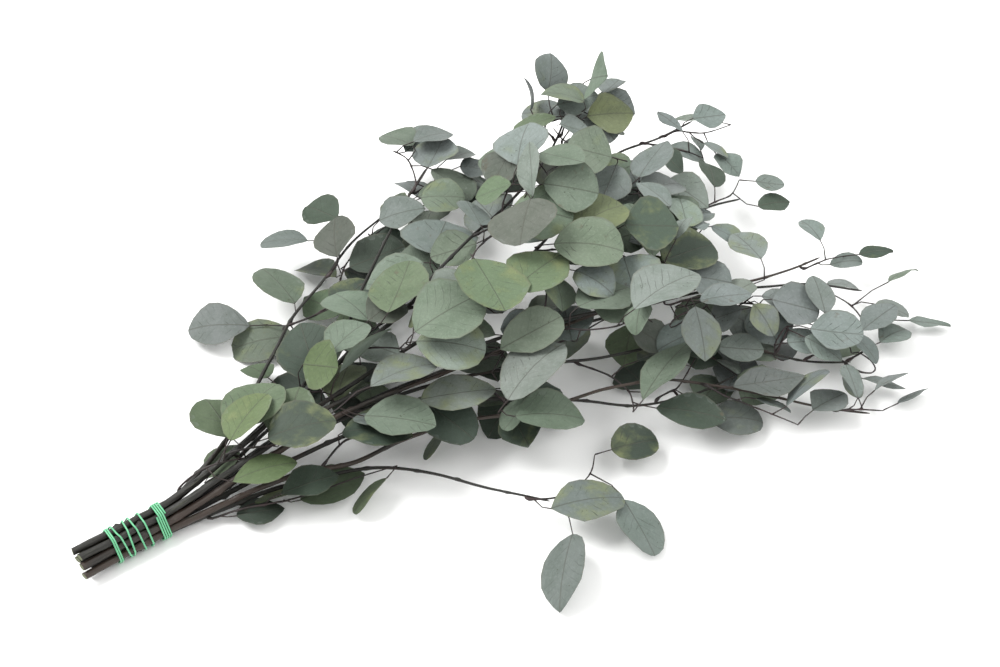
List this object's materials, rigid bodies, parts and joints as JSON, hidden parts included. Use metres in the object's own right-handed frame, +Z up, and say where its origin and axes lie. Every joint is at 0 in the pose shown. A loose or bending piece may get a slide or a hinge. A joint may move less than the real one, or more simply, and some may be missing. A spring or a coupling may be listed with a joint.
{
  "type": "bunch of dried eucalyptus",
  "caption": "Dried round-leaved eucalyptus branches lying in a loose, spreading bunch, tied near their cut ends with wound green elastic.",
  "frame": {"origin": "middle of the bounding box, on the surface the bunch lies on", "axes": "+X along the stems from the cut ends to the leafy tips, +Z up from the surface, +Y to the left of the stems seen from the cut ends"},
  "size_m": [0.6934, 0.458, 0.1402],
  "materials": {
    "bark": "dry, dull, dark brown bark",
    "leaf": "dry, matt, grey-green dried leaf",
    "elastic": "satin"
  },
  "bodies": {
    "root": {"stem_01": "bark", "stem_02": "bark", "stem_03": "bark", "stem_04": "bark", "stem_05": "bark", "stem_06": "bark", "stem_07": "bark", "stem_08": "bark", "stem_09": "bark", "stem_10": "bark", "stem_11": "bark", "stem_12": "bark", "sprig_01": "leaf", "sprig_02": "leaf", "sprig_03": "leaf", "sprig_04": "leaf", "sprig_05": "leaf", "sprig_06": "leaf", "sprig_07": "leaf", "sprig_08": "leaf", "sprig_09": "leaf", "sprig_10": "leaf", "sprig_11": "leaf", "sprig_12": "leaf", "sprig_13": "leaf", "sprig_14": "leaf", "sprig_15": "leaf", "sprig_16": "leaf", "sprig_17": "leaf", "sprig_18": "leaf", "sprig_19": "leaf", "sprig_20": "leaf", "sprig_21": "leaf", "sprig_22": "leaf", "sprig_23": "leaf", "sprig_24": "leaf", "sprig_25": "leaf", "sprig_26": "leaf", "sprig_27": "leaf", "sprig_28": "leaf", "sprig_29": "leaf", "sprig_30": "leaf", "sprig_31": "leaf", "sprig_32": "leaf", "sprig_33": "leaf", "sprig_34": "leaf", "sprig_35": "leaf", "sprig_36": "leaf", "sprig_37": "leaf", "sprig_38": "leaf", "sprig_39": "leaf", "sprig_40": "leaf", "sprig_41": "leaf", "sprig_42": "leaf", "sprig_43": "leaf", "sprig_44": "leaf", "sprig_45": "leaf", "sprig_46": "leaf", "elastic_band_01": "elastic", "elastic_band_02": "elastic"}
  },
  "joints": []
}
